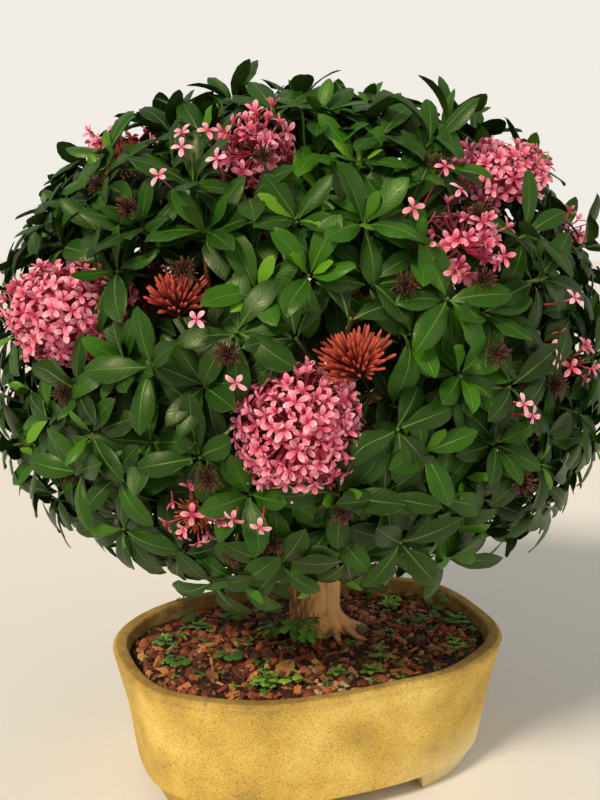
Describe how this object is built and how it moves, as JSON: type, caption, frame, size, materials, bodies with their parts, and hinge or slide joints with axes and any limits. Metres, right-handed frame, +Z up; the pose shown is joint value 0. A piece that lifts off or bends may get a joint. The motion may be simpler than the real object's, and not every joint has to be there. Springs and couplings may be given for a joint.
{
  "type": "potted ixora",
  "caption": "Small round-headed ixora tree with pink flower heads, growing in an oblong clay bonsai pot on corner feet.",
  "frame": {"origin": "under the middle of the whole plant's bounding box, on the surface that the pot's feet stand on", "axes": "+Z up; -Y is the front, where the largest flower heads face; +X is to the right seen from the front"},
  "size_m": [0.4634, 0.411, 0.5069],
  "materials": {
    "pot": "matte",
    "soil": "matte",
    "bark": "matte",
    "leaf": "satin",
    "petal": "matte",
    "bud": "satin",
    "spent": "matte",
    "weed": "matte"
  },
  "bodies": {
    "root": {"bud_head_back": "bud", "bud_head_centre": "bud", "bud_head_left": "bud", "flower_head_back_left": "petal", "flower_head_back_low": "petal", "flower_head_back_right": "petal", "flower_head_back_top": "petal", "flower_head_centre": "petal", "flower_head_left": "petal", "flower_head_low_left": "petal", "flower_head_right": "petal", "flower_head_right_edge": "petal", "flower_head_right_low": "petal", "flower_head_top": "petal", "flower_head_top_left": "petal", "flower_head_top_right": "petal", "leafy_spray_01": "leaf", "leafy_spray_02": "leaf", "leafy_spray_03": "leaf", "leafy_spray_04": "leaf", "leafy_spray_05": "leaf", "leafy_spray_06": "leaf", "leafy_spray_07": "leaf", "leafy_spray_08": "leaf", "leafy_spray_09": "leaf", "leafy_spray_10": "leaf", "leafy_spray_11": "leaf", "leafy_spray_12": "leaf", "leafy_spray_13": "leaf", "leafy_spray_14": "leaf", "leafy_spray_15": "leaf", "leafy_spray_16": "leaf", "leafy_spray_17": "leaf", "leafy_spray_18": "leaf", "leafy_spray_19": "leaf", "leafy_spray_20": "leaf", "leafy_spray_21": "leaf", "leafy_spray_22": "leaf", "leafy_spray_23": "leaf", "leafy_spray_24": "leaf", "leafy_spray_25": "leaf", "leafy_spray_26": "leaf", "leafy_spray_27": "leaf", "leafy_spray_28": "leaf", "leafy_spray_29": "leaf", "leafy_spray_30": "leaf", "leafy_spray_31": "leaf", "leafy_spray_32": "leaf", "pot": "pot", "soil": "soil", "spent_head_back": "spent", "spent_head_left": "spent", "spent_head_right": "spent", "trunk_and_branches": "bark", "weed_clover_left": "weed", "weed_clover_right": "weed", "weed_seedling_back": "weed", "weed_seedling_front": "weed", "weed_seedling_right": "weed"}
  },
  "joints": []
}
